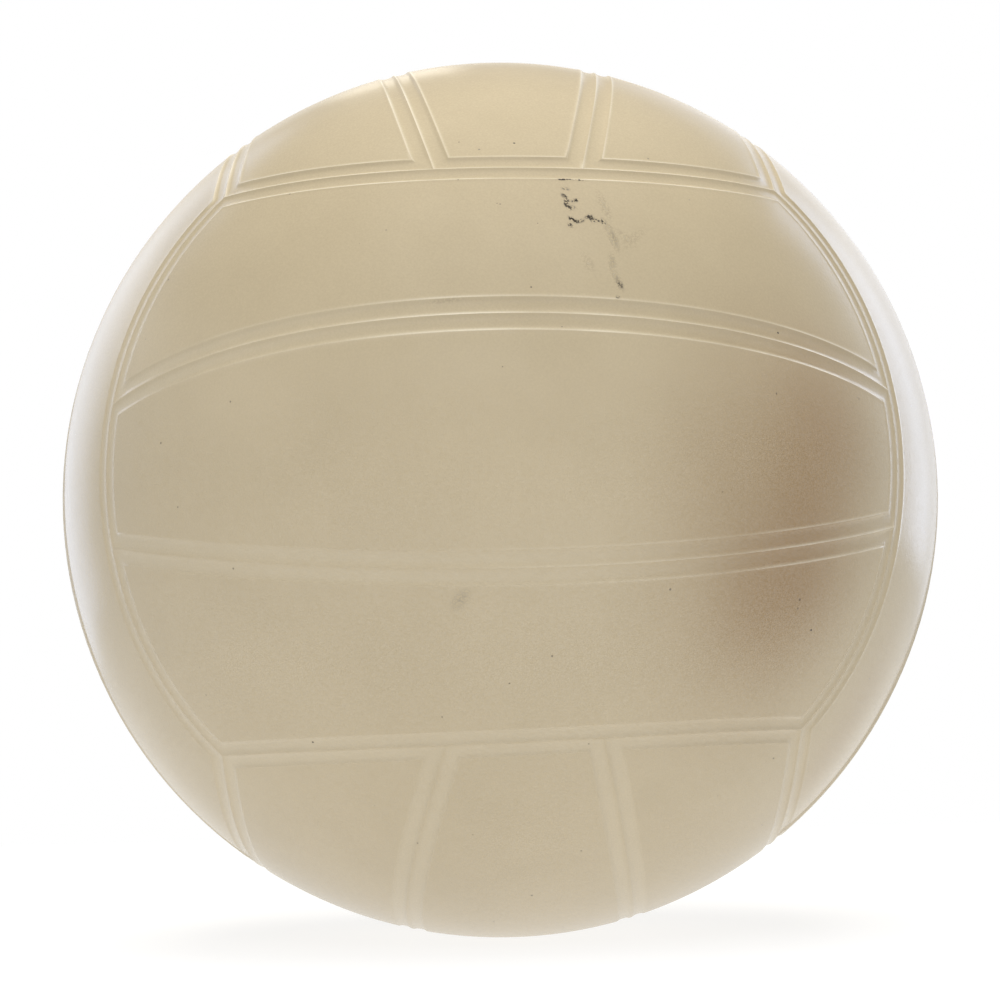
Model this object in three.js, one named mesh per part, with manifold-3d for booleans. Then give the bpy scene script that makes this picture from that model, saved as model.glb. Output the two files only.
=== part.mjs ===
// Pool volleyball: a hollow skin of soft PVC, cast in one mould, with a needle valve at the back.
// Millimetres, +Z up. The origin is the middle of the small flat that the ball stands on.
// The front face of the panel pattern looks along -Y, and the valve sits at the middle of the back face, +Y.
import * as THREE from "three";
import { mergeVertices } from "three/addons/utils/BufferGeometryUtils.js";
import Module from "manifold-3d";

// Skin
const BALL_DIAMETER = 210; // 660 mm round, as a volleyball is
const WALL_THICKNESS = 1.7;
const REST_FLAT_DIAMETER = 18; // the soft skin flattens this much under the ball's own weight

// Panel relief: six faces of three panels, with a flute inside each panel's border
const MIDDLE_PANEL_ANGLE = 28.2; // degrees across a face's middle panel, seen from the ball's centre
const FLUTE_WIDTH = 3.7;
const FLUTE_DEPTH = 0.45;

// Valve: a PVC body fused in the wall, and a rubber core pressed into it
const FIT_GAP = 0.3; // between two neighbouring pieces
const STEM_DIAMETER = 5.4; // of the core, where it fills the body's bore
const HEAD_LIP = 1; // the core's head reaches this far past the bore
const HEAD_THICKNESS = 1.4;
const HEAD_SINK = 0.25; // the head lies this far below the neck's face
const NECK_WALL = 1.7; // the ring of the body that shows in the skin
const FLANGE_REACH = 7; // past the neck, along the inside of the wall
const FLANGE_THICKNESS = 1.6;
const BARREL_WALL = 2.5;
const BARREL_LENGTH = 11;
const BULB_CATCH = 0.9; // the core's bulb holds this far over the barrel's end
const BULB_LENGTH = 3;
const TAIL_LENGTH = 3;
const DUCT_DIAMETER = 1.5; // takes the inflating needle
const DUCT_FLARE = 0.8;
const SEALED_LENGTH = 4; // of closed rubber under the duct, which the needle parts

// How finely the round shapes are cut
const OUTER_STEPS = 6; // along an edge seam, beside each outer panel
const MIDDLE_STEPS = 4; // along an edge seam, beside the middle panel
const FLUTE_STEPS = 4; // across a flute
const ROUND_STEPS = 40; // round the valve and the cavity
const CAVITY_STEPS = 16; // from the valve's flange to the far side

const ballRadius = BALL_DIAMETER / 2;
const cavityRadius = ballRadius - WALL_THICKNESS;
const centreHeight = Math.sqrt(ballRadius ** 2 - (REST_FLAT_DIAMETER / 2) ** 2);

// Edge seams are circles of the ball, at the height where three of them meet in one point.
const edgeAngle = Math.asin(1 / Math.sqrt(3));
const seamAngle = THREE.MathUtils.degToRad(MIDDLE_PANEL_ANGLE / 2);

// Where a neighbouring face's inner seams end on a face's long edge, as a share of that edge.
const teeAngle = Math.asin(Math.tan(seamAngle) / Math.SQRT2);
const teeShare = (Math.PI / 4 - teeAngle) / (Math.PI / 2);

// A panel is drawn on a face that looks along +Z with its strips along X.
// Each long border is a circle: the way into the panel, and the angle of the circle along that way.
const wayAcross = (y, z) => new THREE.Vector3(0, y, z);
const sin = Math.sin(seamAngle);
const cos = Math.cos(seamAngle);
const MIDDLE_PANEL = {
  lower: { inward: wayAcross(cos, sin), angle: 0 },
  upper: { inward: wayAcross(-cos, sin), angle: 0 },
  stepsAcross: MIDDLE_STEPS,
};
const OUTER_PANEL = {
  lower: { inward: wayAcross(cos, -sin), angle: 0 },
  upper: { inward: wayAcross(-1, 0), angle: -edgeAngle },
  stepsAcross: OUTER_STEPS,
};

// Shares along a long border, even within each stretch between the neighbour's seam ends.
function sharesAlong() {
  const stretches = [
    { from: 0, to: teeShare, steps: OUTER_STEPS },
    { from: teeShare, to: 1 - teeShare, steps: MIDDLE_STEPS },
    { from: 1 - teeShare, to: 1, steps: OUTER_STEPS },
  ];
  const shares = [0];
  for (const { from, to, steps } of stretches) {
    for (let i = 1; i <= steps; i++) shares.push(from + ((to - from) * i) / steps);
  }
  return shares;
}

function sharesAcross(panel) {
  return Array.from({ length: panel.stepsAcross + 1 }, (_, i) => i / panel.stepsAcross);
}

// The right-hand corner of a panel drawn in by an angle, as a point of the unit ball.
function cornerOf(border, inset) {
  const z = Math.sin(edgeAngle + inset);
  const y = (Math.sin(border.angle + inset) - border.inward.z * z) / border.inward.y;
  return new THREE.Vector3(Math.sqrt(1 - y * y - z * z), y, z);
}

// A point of a long border drawn in by an angle.
function alongBorder(border, inset, share) {
  const angle = border.angle + inset;
  const halfTurn = Math.asin(cornerOf(border, inset).x / Math.cos(angle));
  const turn = halfTurn * (2 * share - 1);
  const outOfFace = new THREE.Vector3(0, -border.inward.z, border.inward.y);
  if (outOfFace.z < 0) outOfFace.negate();
  return border.inward
    .clone()
    .multiplyScalar(Math.sin(angle))
    .addScaledVector(outOfFace, Math.cos(angle) * Math.cos(turn))
    .addScaledVector(new THREE.Vector3(1, 0, 0), Math.cos(angle) * Math.sin(turn));
}

// A point of the right-hand end of a panel drawn in by an angle.
function acrossEnd(panel, inset, share) {
  const low = cornerOf(panel.lower, inset);
  const high = cornerOf(panel.upper, inset);
  const turn = THREE.MathUtils.lerp(Math.atan2(low.y, low.x), Math.atan2(high.y, high.x), share);
  const reach = Math.hypot(low.x, low.y);
  return new THREE.Vector3(reach * Math.cos(turn), reach * Math.sin(turn), low.z);
}

const mirrored = (point) => new THREE.Vector3(-point.x, point.y, point.z);

// All points round a panel drawn in by an angle, counter-clockwise from the lower left corner.
function ringOf(panel, inset) {
  const along = sharesAlong();
  const across = sharesAcross(panel);
  const lower = along.map((share) => alongBorder(panel.lower, inset, share));
  const upper = along.map((share) => alongBorder(panel.upper, inset, share));
  const right = across.map((share) => acrossEnd(panel, inset, share));
  const left = right.map(mirrored);
  return [
    ...lower.slice(0, -1),
    ...right.slice(0, -1),
    ...upper.reverse().slice(0, -1),
    ...left.reverse().slice(0, -1),
  ];
}

// A point inside a panel drawn in by an angle, blended from its four borders.
function insidePoint(panel, inset, u, v) {
  const low = cornerOf(panel.lower, inset);
  const high = cornerOf(panel.upper, inset);
  const right = acrossEnd(panel, inset, v);
  return new THREE.Vector3()
    .addScaledVector(alongBorder(panel.lower, inset, u), 1 - v)
    .addScaledVector(alongBorder(panel.upper, inset, u), v)
    .addScaledVector(mirrored(right), 1 - u)
    .addScaledVector(right, u)
    .addScaledVector(mirrored(low), -(1 - u) * (1 - v))
    .addScaledVector(low, -u * (1 - v))
    .addScaledVector(mirrored(high), -(1 - u) * v)
    .addScaledVector(high, -u * v)
    .normalize();
}

// The triangles of one panel: rings of the flute from the ridge inwards, then the plain middle.
function panelTriangles(panel) {
  const triangles = [];
  const quad = (a, b, c, d) => triangles.push(a, b, c, a, c, d);
  const rings = [];
  for (let i = 0; i <= FLUTE_STEPS; i++) {
    const share = i / FLUTE_STEPS;
    const radius = ballRadius - FLUTE_DEPTH * 4 * share * (1 - share);
    const ring = ringOf(panel, (FLUTE_WIDTH * share) / ballRadius);
    rings.push(ring.map((point) => point.multiplyScalar(radius)));
  }
  for (let i = 0; i < FLUTE_STEPS; i++) {
    const outside = rings[i];
    const inside = rings[i + 1];
    outside.forEach((point, j) => {
      const next = (j + 1) % outside.length;
      quad(point, outside[next], inside[next], inside[j]);
    });
  }
  const along = sharesAlong();
  const across = sharesAcross(panel);
  const grid = along.map((u) =>
    across.map((v) => insidePoint(panel, FLUTE_WIDTH / ballRadius, u, v).multiplyScalar(ballRadius)),
  );
  for (let i = 1; i < along.length; i++) {
    for (let j = 1; j < across.length; j++) {
      quad(grid[i - 1][j - 1], grid[i][j - 1], grid[i][j], grid[i - 1][j]);
    }
  }
  return triangles;
}

// The six faces: strips on neighbouring faces run at right angles, so each face takes its own turn.
function fluted() {
  const halfTurn = new THREE.Matrix4().makeRotationZ(Math.PI);
  const middle = panelTriangles(MIDDLE_PANEL);
  const outer = panelTriangles(OUTER_PANEL);
  const face = [...middle, ...outer, ...outer.map((point) => point.clone().applyMatrix4(halfTurn))];
  const axes = [new THREE.Vector3(1, 0, 0), new THREE.Vector3(0, 1, 0), new THREE.Vector3(0, 0, 1)];
  const points = [];
  for (let i = 0; i < 3; i++) {
    for (const side of [1, -1]) {
      const outward = axes[i].clone().multiplyScalar(side);
      const strips = axes[(i + 2) % 3];
      const across = new THREE.Vector3().crossVectors(outward, strips);
      const turn = new THREE.Matrix4().makeBasis(strips, across, outward);
      points.push(...face.map((point) => point.clone().applyMatrix4(turn)));
    }
  }
  return new THREE.BufferGeometry().setFromPoints(points);
}

const wasm = await Module();
wasm.setup();

function solidOf(geometry) {
  const bare = geometry.clone();
  bare.deleteAttribute("normal");
  bare.deleteAttribute("uv");
  const merged = mergeVertices(bare, 1e-3);
  return new wasm.Manifold(
    new wasm.Mesh({
      numProp: 3,
      vertProperties: new Float32Array(merged.attributes.position.array),
      triVerts: new Uint32Array(merged.index.array),
    }),
  );
}

function geometryOf(solid) {
  const { vertProperties, triVerts } = solid.getMesh();
  const geometry = new THREE.BufferGeometry();
  geometry.setAttribute("position", new THREE.BufferAttribute(vertProperties, 3));
  geometry.setIndex(new THREE.BufferAttribute(triVerts, 1));
  return geometry;
}

// Valve sizes, each from the piece it fits. Heights are from the ball's centre along +Y.
const stemRadius = STEM_DIAMETER / 2;
const boreRadius = stemRadius + FIT_GAP;
const headRadius = boreRadius + HEAD_LIP;
const headSeatRadius = headRadius + FIT_GAP;
const neckRadius = headSeatRadius + NECK_WALL;
const flangeRadius = neckRadius + FLANGE_REACH;
const barrelRadius = boreRadius + BARREL_WALL;
const bulbRadius = boreRadius + BULB_CATCH;
const ductRadius = DUCT_DIAMETER / 2;

const flangeTop = cavityRadius - FIT_GAP;
const flangeUnder = flangeTop - FLANGE_THICKNESS;
const heightOn = (sphereRadius, r) => Math.sqrt(sphereRadius ** 2 - r ** 2);
const neckFace = heightOn(ballRadius, neckRadius);
const headFace = neckFace - HEAD_SINK;
const headUnder = headFace - HEAD_THICKNESS;
const barrelEnd = heightOn(flangeUnder, barrelRadius) - BARREL_LENGTH;
const bulbShoulder = barrelEnd - FIT_GAP;
const bulbEnd = bulbShoulder - BULB_LENGTH;
const tailEnd = bulbEnd - TAIL_LENGTH;

// Points of a section that follow the inside of the wall.
function arcOn(sphereRadius, from, to) {
  const steps = 3;
  const points = [];
  for (let i = 0; i <= steps; i++) {
    const r = THREE.MathUtils.lerp(from, to, i / steps);
    points.push(new THREE.Vector2(r, heightOn(sphereRadius, r)));
  }
  return points;
}

const at = (r, height) => new THREE.Vector2(r, height);

// The hollow: finely stepped over the valve's flange, so that the flange seats on it evenly.
function cavityGeometry() {
  const capRadius = flangeRadius + FIT_GAP;
  const capTurn = Math.asin(capRadius / cavityRadius);
  const section = [at(0, -cavityRadius)];
  for (let i = 1; i < CAVITY_STEPS; i++) {
    const turn = THREE.MathUtils.lerp(Math.PI, capTurn, i / CAVITY_STEPS);
    section.push(at(cavityRadius * Math.sin(turn), cavityRadius * Math.cos(turn)));
  }
  section.push(...arcOn(cavityRadius, capRadius, 0));
  return new THREE.LatheGeometry(section, ROUND_STEPS);
}

function skinGeometry() {
  const outside = solidOf(fluted());
  const cavity = solidOf(cavityGeometry());
  const holeRadius = neckRadius + FIT_GAP;
  const holeLength = 6 * WALL_THICKNESS;
  const hole = new THREE.CylinderGeometry(holeRadius, holeRadius, holeLength, ROUND_STEPS);
  hole.translate(0, ballRadius - WALL_THICKNESS, 0);
  const ground = new THREE.BoxGeometry(BALL_DIAMETER, BALL_DIAMETER, ballRadius);
  ground.translate(0, 0, -centreHeight - ballRadius / 2);
  return geometryOf(outside.subtract(cavity).subtract(solidOf(hole)).subtract(solidOf(ground)));
}

function valveBodyGeometry() {
  const section = [
    at(neckRadius, neckFace),
    at(headSeatRadius, neckFace),
    at(headSeatRadius, headUnder - FIT_GAP),
    at(boreRadius, headUnder - FIT_GAP),
    at(boreRadius, barrelEnd),
    at(barrelRadius, barrelEnd),
    ...arcOn(flangeUnder, barrelRadius, flangeRadius),
    ...arcOn(flangeTop, flangeRadius, neckRadius),
    at(neckRadius, neckFace),
  ];
  return new THREE.LatheGeometry(section, ROUND_STEPS);
}

function valveCoreGeometry() {
  const section = [
    at(0, tailEnd),
    at(ductRadius * 2, tailEnd),
    at(bulbRadius, bulbEnd),
    at(bulbRadius, bulbShoulder),
    at(stemRadius, bulbShoulder),
    at(stemRadius, headUnder),
    at(headRadius, headUnder),
    at(headRadius, headFace),
    at(ductRadius + DUCT_FLARE, headFace),
    at(ductRadius, headFace - DUCT_FLARE * 2),
    at(ductRadius, tailEnd + SEALED_LENGTH),
    at(0, tailEnd + SEALED_LENGTH),
  ];
  return new THREE.LatheGeometry(section, ROUND_STEPS);
}

// The ball, raised so that its flat lies on the ground.
const ball = new THREE.Group();
ball.name = "pool_volleyball";

function addPiece(name, geometry, color, roughness) {
  const mesh = new THREE.Mesh(geometry, new THREE.MeshStandardMaterial({ color, roughness }));
  mesh.name = name;
  mesh.position.z = centreHeight;
  ball.add(mesh);
}

addPiece("skin", skinGeometry(), 0xcbbf9f, 0.45);
addPiece("valve_body", valveBodyGeometry(), 0xc3b795, 0.5);
addPiece("valve_core", valveCoreGeometry(), 0x2b2a28, 0.7);

export default ball;
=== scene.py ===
# %% [markdown]
# # A pool volleyball, dressed in Blender
#
# The real ball is one hollow skin of soft PVC, cast in a mould that has the look of a sewn volleyball
# cut into it: eighteen panels, a shallow flute just inside each panel's border, and a fine ridge where
# two flutes meet. A needle valve sits flush in the back. This lesson builds that skin and the valve
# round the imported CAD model, gives them their plastics, and photographs them in a small white studio.

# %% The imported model
from math import asin, cos, pi, radians, sin, sqrt, tan

import bpy
import numpy as np
from mathutils import Matrix, Vector


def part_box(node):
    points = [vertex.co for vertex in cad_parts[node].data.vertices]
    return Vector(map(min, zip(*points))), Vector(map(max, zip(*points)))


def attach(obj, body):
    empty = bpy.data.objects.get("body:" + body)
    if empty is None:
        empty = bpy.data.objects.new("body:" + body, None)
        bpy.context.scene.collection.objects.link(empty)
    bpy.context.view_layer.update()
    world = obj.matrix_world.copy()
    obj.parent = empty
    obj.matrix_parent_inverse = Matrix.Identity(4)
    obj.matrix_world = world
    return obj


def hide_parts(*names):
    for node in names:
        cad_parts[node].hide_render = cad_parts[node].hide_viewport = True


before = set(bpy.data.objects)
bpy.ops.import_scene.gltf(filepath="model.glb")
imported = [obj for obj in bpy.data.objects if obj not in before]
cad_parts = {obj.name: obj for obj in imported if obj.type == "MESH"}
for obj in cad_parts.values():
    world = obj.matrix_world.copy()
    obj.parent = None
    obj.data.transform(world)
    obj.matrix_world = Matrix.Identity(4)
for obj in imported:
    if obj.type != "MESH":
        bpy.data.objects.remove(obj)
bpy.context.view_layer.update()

# %% [markdown]
# ## The ball's size and place
#
# The CAD model stands on its flat, with the valve towards +Y. The radius and the centre could be typed
# in again, but reading them from the CAD skin's box keeps the dressed ball on the same centre for ever.

# %% Sizes read from the CAD skin
MM = 0.001
skin_low, skin_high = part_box("skin")
BALL_RADIUS = (skin_high.x - skin_low.x) / 2
CENTRE = Vector((0, 0, skin_high.z - BALL_RADIUS))
print(f"radius {BALL_RADIUS / MM:.2f} mm, centre {CENTRE.z / MM:.2f} mm above the floor")

# %% [markdown]
# ## The camera
#
# The photograph was fitted with a ball of known radius: its outline gives the lens, and the bend of the
# panel borders gives the distance and the tilt. The camera stands a little below the ball's middle and
# looks up at it, so it comes first: the wear marks further down are placed by where they show in the
# picture.

# %% Camera from the fitted view
PICTURE = 1000
OUTLINE_RADIUS = 437.5
DISTANCE = 5 * BALL_RADIUS
YAW, PITCH, ROLL = radians(-1.05), radians(6.92), radians(-1.35)

camera_turn = (
    Matrix.Rotation(YAW, 4, "Z") @ Matrix.Rotation(pi / 2 + PITCH, 4, "X") @ Matrix.Rotation(ROLL, 4, "Z")
)
focal_pixels = OUTLINE_RADIUS * sqrt((DISTANCE / BALL_RADIUS) ** 2 - 1)
view_axis = camera_turn.to_3x3() @ Vector((0, 0, -1))
bpy.ops.object.select_all(action="DESELECT")
bpy.ops.object.camera_add()
camera = bpy.context.object
camera.name = "photograph_camera"
camera.matrix_world = Matrix.Translation(CENTRE - DISTANCE * view_axis) @ camera_turn
camera.data.sensor_width = 36
camera.data.lens = 36 * focal_pixels / PICTURE
bpy.context.scene.camera = camera
print(f"lens {camera.data.lens:.1f} mm, camera {camera.location.z / MM:.0f} mm above the floor")


def seen_at(x, y):
    """The point of the ball that the picture shows at pixel x, y."""
    ray = Vector(((x - PICTURE / 2) / focal_pixels, (PICTURE / 2 - y) / focal_pixels, -1))
    ray = (camera_turn.to_3x3() @ ray).normalized()
    start = camera.location - CENTRE
    half = start.dot(ray)
    reach = -half - sqrt(half * half - start.length_squared + BALL_RADIUS**2)
    return camera.location + reach * ray


# %% [markdown]
# ## One panel as a flat tray
#
# Six faces of three panels cover the ball, and there are only two shapes: a middle panel and an outer
# one. Cutting flutes into a finished sphere would leave ragged slivers along every seam. Instead, each
# panel starts as a flat grid, and its border is pulled up again and again, so that it becomes a tray
# whose wall counts the rings of the flute. Wrapping the tray on the ball then turns the wall into the
# flute, with clean mitred corners.

# %% Flat trays
STEPS_OUTER, STEPS_MIDDLE = 18, 12
STEPS_ALONG = 2 * STEPS_OUTER + STEPS_MIDDLE
FLUTE_WIDTH = 3.7 * MM
FLUTE_DEPTH = 0.45 * MM
# Distance in mm of each ring from the seam line, from the panel's plain middle out to the ridge.
RINGS = [5.2, 4.8, 4.5, 4.25, 4.05, 3.9, 3.78, 3.68, 3.58, 3.45, 3.25, 2.95]
RINGS += [2.55, 2.1, 1.6, 1.15, 0.75, 0.45, 0.25, 0.13, 0.05, 0]


def flat_tray(name, steps_across):
    """A grid 1 by 1 whose border rises by 1 for each ring."""
    bpy.ops.object.select_all(action="DESELECT")
    bpy.ops.mesh.primitive_grid_add(
        x_subdivisions=STEPS_ALONG, y_subdivisions=steps_across, size=1, location=(0.5, 0.5, 0)
    )
    panel = bpy.context.object
    panel.name = name
    bpy.ops.object.transform_apply(location=True, rotation=True, scale=True)
    bpy.ops.object.mode_set(mode="EDIT")
    bpy.ops.mesh.select_mode(type="EDGE")
    bpy.ops.mesh.select_all(action="SELECT")
    bpy.ops.mesh.region_to_loop()
    for _ in RINGS[1:]:
        bpy.ops.mesh.extrude_edges_move(TRANSFORM_OT_translate={"value": (0, 0, 1)})
    bpy.ops.object.mode_set(mode="OBJECT")
    print(name, "faces:", len(panel.data.polygons))
    return panel


middle_panel = flat_tray("middle_panel", STEPS_MIDDLE)
outer_panel = flat_tray("outer_panel", STEPS_OUTER)

# %% [markdown]
# ## The flute's section
#
# In the photograph's outline each seam shows as two shallow hollows with a sharp little ridge between
# them, the ridge about level with the panels. Only one thin bright line runs along each ridge and each
# panel's edge, and the hollow between them is plain, so the flute has a flattened floor and steeper
# sides than a round groove. The third power of the distance from its middle makes that section.
# A small rounding keeps the corners from being knife-sharp, as vinyl never copies a mould's corner
# quite sharply, and a low bead runs along the panel's edge.

# %% Height of the skin at a distance from the seam
SIDE_STEEPNESS = 3
EDGE_ROUNDING = 0.1 * MM
BEAD_HEIGHT, BEAD_WIDTH = 0.09 * MM, 0.55 * MM
LIP_WIDTH = 0.4 * MM


def hollow_share(inset):
    """1 in the middle of the flute, and 0 on the ridge and on the panel."""
    share = np.clip(inset / FLUTE_WIDTH, 0, 1)
    return 1 - np.abs(2 * share - 1) ** SIDE_STEEPNESS


def skin_height(inset):
    """Height over the plain ball, negative in the flute."""
    hollow = FLUTE_DEPTH * hollow_share(inset)
    bead = BEAD_HEIGHT * np.exp(-(((inset - FLUTE_WIDTH) / BEAD_WIDTH) ** 2))
    return bead - (np.sqrt(hollow**2 + EDGE_ROUNDING**2) - EDGE_ROUNDING)


def lip_share(inset):
    """1 along the ridge and the panel's edge, and 0 away from them."""
    return np.exp(-((np.minimum(inset, np.abs(inset - FLUTE_WIDTH)) / LIP_WIDTH) ** 2))


print("flute floor:", round(float(skin_height(np.array(FLUTE_WIDTH / 2))) / MM, 3), "mm")

# %% [markdown]
# ## Wrapping a tray on the ball
#
# Every panel border is a circle of the ball, so a ring of the flute is a circle too, a little further
# in. A panel has two long borders and two ends; a point inside is blended from those four, the way a
# sheet is stretched on a frame. The face looks along +Z here with its strips along X, and is turned to
# its place afterwards.

# %% Wrap
MIDDLE_PANEL_ANGLE = radians(28.2)
edge_angle = asin(1 / sqrt(3))
seam_angle = MIDDLE_PANEL_ANGLE / 2
# The neighbouring face's inner seams end on a long border at these shares of it.
tee_angle = asin(tan(seam_angle) / sqrt(2))
tee_share = (pi / 4 - tee_angle) / (pi / 2)


def border_corner(border, inset):
    """Right-hand corner of a border that is drawn in by an angle."""
    (inward_y, inward_z), angle = border
    z = np.sin(edge_angle + inset)
    y = (np.sin(angle + inset) - inward_z * z) / inward_y
    return np.stack([np.sqrt(1 - y * y - z * z), y, z], axis=-1)


def along_border(border, inset, share):
    """A point at a share of that border's length, from left to right."""
    (inward_y, inward_z), angle = border
    angle = angle + inset
    turn = np.arcsin(border_corner(border, inset)[:, 0] / np.cos(angle)) * (2 * share - 1)
    side = np.sign(inward_y)
    outward = np.cos(angle) * np.cos(turn)
    return np.stack(
        [
            np.cos(angle) * np.sin(turn),
            inward_y * np.sin(angle) - side * inward_z * outward,
            inward_z * np.sin(angle) + side * inward_y * outward,
        ],
        axis=-1,
    )


def across_end(low, high, share):
    """The right-hand end, from its lower to its upper corner."""
    start = np.arctan2(low[:, 1], low[:, 0])
    turn = start + (np.arctan2(high[:, 1], high[:, 0]) - start) * share
    reach = np.hypot(low[:, 0], low[:, 1])
    return np.stack([reach * np.cos(turn), reach * np.sin(turn), low[:, 2]], axis=-1)


def wrap(panel, lower, upper):
    """Lays a tray on the ball between its lower and its upper border."""
    points = np.empty(3 * len(panel.data.vertices))
    panel.data.vertices.foreach_get("co", points)
    column, across, ring = points.reshape(-1, 3).T
    steps = [0, STEPS_OUTER, STEPS_OUTER + STEPS_MIDDLE, STEPS_ALONG]
    along = np.interp(column * STEPS_ALONG, steps, [0, tee_share, 1 - tee_share, 1])
    inset = np.interp(ring, range(len(RINGS)), RINGS) * MM
    angle = inset / BALL_RADIUS
    mirror = np.array([-1, 1, 1])
    low, high = border_corner(lower, angle), border_corner(upper, angle)
    end = across_end(low, high, across)
    u, v = along[:, None], across[:, None]
    wrapped = (
        (1 - v) * along_border(lower, angle, along)
        + v * along_border(upper, angle, along)
        + ((1 - u) * mirror + u) * end
        - (1 - v) * ((1 - u) * mirror + u) * low
        - v * ((1 - u) * mirror + u) * high
    )
    wrapped /= np.linalg.norm(wrapped, axis=1, keepdims=True)
    wrapped *= (BALL_RADIUS + skin_height(inset))[:, None]
    panel.data.vertices.foreach_set("co", wrapped.ravel())
    for name, share in (("lip", lip_share(inset)), ("flute", hollow_share(inset))):
        panel.data.attributes.new(name, "FLOAT", "POINT").data.foreach_set("value", share)
    panel.data.update()
    print(panel.name, "wrapped, sides in mm:", (np.ptp(wrapped, axis=0) / MM).round(1))


seam_sin, seam_cos = np.sin(seam_angle), np.cos(seam_angle)
wrap(middle_panel, ((seam_cos, seam_sin), 0), ((-seam_cos, seam_sin), 0))
wrap(outer_panel, ((seam_cos, -seam_sin), 0), ((-1, 0), -edge_angle))

# %% [markdown]
# ## Eighteen panels, one skin
#
# A face is a middle panel with an outer panel above it and the same one turned half round below. The
# strips of neighbouring faces run at right angles, so each face takes its own turn. The copies are
# joined and their shared border points merged, which closes the skin: the panels are only relief.

# %% Copy, join and merge the panels
AXES = [Vector((1, 0, 0)), Vector((0, 1, 0)), Vector((0, 0, 1))]
MERGE_DISTANCE = 0.002 * MM


def copy_turned(panel, turn):
    bpy.ops.object.select_all(action="DESELECT")
    panel.select_set(True)
    bpy.context.view_layer.objects.active = panel
    bpy.ops.object.duplicate(linked=False)
    copy = bpy.context.object
    copy.matrix_world = Matrix.Translation(CENTRE) @ turn.to_4x4()
    bpy.ops.object.transform_apply(location=True, rotation=True, scale=True)
    return copy


half_turn = Matrix.Rotation(pi, 3, "Z")
panels = []
for i, axis in enumerate(AXES):
    for outward in (axis, -axis):
        strips = AXES[(i + 2) % 3]
        turn = Matrix((strips, outward.cross(strips), outward)).transposed()
        panels.append(copy_turned(middle_panel, turn))
        panels.append(copy_turned(outer_panel, turn))
        panels.append(copy_turned(outer_panel, turn @ half_turn))

bpy.ops.object.select_all(action="DESELECT")
middle_panel.select_set(True)
outer_panel.select_set(True)
bpy.ops.object.delete()
for panel in panels:
    panel.select_set(True)
bpy.context.view_layer.objects.active = panels[0]
bpy.ops.object.join()
skin = bpy.context.object
skin.name = skin.data.name = "pvc_skin"
bpy.ops.object.mode_set(mode="EDIT")
bpy.ops.mesh.select_all(action="SELECT")
bpy.ops.mesh.remove_doubles(threshold=MERGE_DISTANCE)
bpy.ops.mesh.normals_make_consistent(inside=False)
bpy.ops.mesh.select_all(action="DESELECT")
bpy.ops.mesh.select_non_manifold()
bpy.ops.object.mode_set(mode="OBJECT")
open_edges = sum(edge.select for edge in skin.data.edges)
print("skin faces:", len(skin.data.polygons), "open edges:", open_edges)

# %% [markdown]
# ## Seams laid by hand
#
# On a drawing the eighteen panels repeat exactly. On the real ball no two seams run quite alike: the
# pattern for the mould was laid out by hand, and soft vinyl creeps as it cools, so that borders stand
# up to three millimetres off. A lattice could pull the mesh about, but would dent the ball with it.
# Here each point is turned about the ball's centre by a small turn that changes smoothly over the front,
# as measured along the picture's seams, and dies out behind and at both sides. The flutes are duller
# low on the ball, where the skin filled the mould less well, so their corners are rounder there.

# %% Let the seams drift
# Powers of x and z, counted in radii from the centre, then the turn about X, Y and Z in mm on the surface.
DRIFT = [
    (0, 0, 0.40, -1.16, 3.36),
    (1, 0, 1.84, 0.87, 4.28),
    (0, 1, -0.23, 1.73, -0.58),
    (2, 0, -3.21, 0.27, -6.24),
    (1, 1, 2.25, -3.70, -3.13),
    (0, 2, 0.01, -0.54, -4.19),
    (3, 0, -0.09, 1.59, -6.33),
    (2, 1, 3.86, -0.89, 5.31),
    (1, 2, -3.12, -4.60, 5.44),
    (0, 3, 7.98, -0.40, 4.35),
]
# The drift dies out between these places, counted the same way, towards the back and towards the sides.
DRIFT_END_BEHIND, DRIFT_END_ASIDE = (-0.05, 0.6), (0.85, 0.97)
# The relief is duller low down, and more so to the left: heights in radii from the centre between which
# it goes from dull to sharp, then the rounding of its corners where it is dull. The sharp lips and the
# dull flutes are kept as attributes for the finish.
DULL_HEIGHT, SHARP_HEIGHT, SHARPER_TO_RIGHT = -0.45, 0.25, 0.8
DULL_ROUNDING, DULL_GAIN = 0.12 * MM, 1.2
points = np.empty(3 * len(skin.data.vertices))
skin.data.vertices.foreach_get("co", points)
even = points.reshape(-1, 3) - np.array(CENTRE)
x, y, z = even.T / BALL_RADIUS
turn = sum(np.outer(x**i * z**j, about) for i, j, *about in DRIFT) * MM / BALL_RADIUS
front = np.interp(y, DRIFT_END_BEHIND, (1, 0)) * np.interp(np.abs(x), DRIFT_END_ASIDE, (1, 0))
turn *= (front**2 * (3 - 2 * front))[:, None]
drifted = even + np.cross(turn, even)
relief = np.linalg.norm(even, axis=1) - BALL_RADIUS
dull = DULL_GAIN * (DULL_ROUNDING - np.hypot(np.minimum(relief, 0), DULL_ROUNDING))
sharpness = np.interp(z + SHARPER_TO_RIGHT * x, (DULL_HEIGHT, SHARP_HEIGHT), (0, 1))
relief = dull + (relief - dull) * sharpness
for name, share in (("lip", sharpness), ("flute", 1 - sharpness)):
    values = np.empty(len(skin.data.vertices))
    skin.data.attributes[name].data.foreach_get("value", values)
    skin.data.attributes[name].data.foreach_set("value", values * share)
drifted *= ((BALL_RADIUS + relief) / np.linalg.norm(drifted, axis=1))[:, None]
skin.data.vertices.foreach_set("co", (drifted + np.array(CENTRE)).ravel())
skin.data.update()
print("largest drift:", round(float(np.linalg.norm(drifted - even, axis=1).max()) / MM, 2), "mm")

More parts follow.
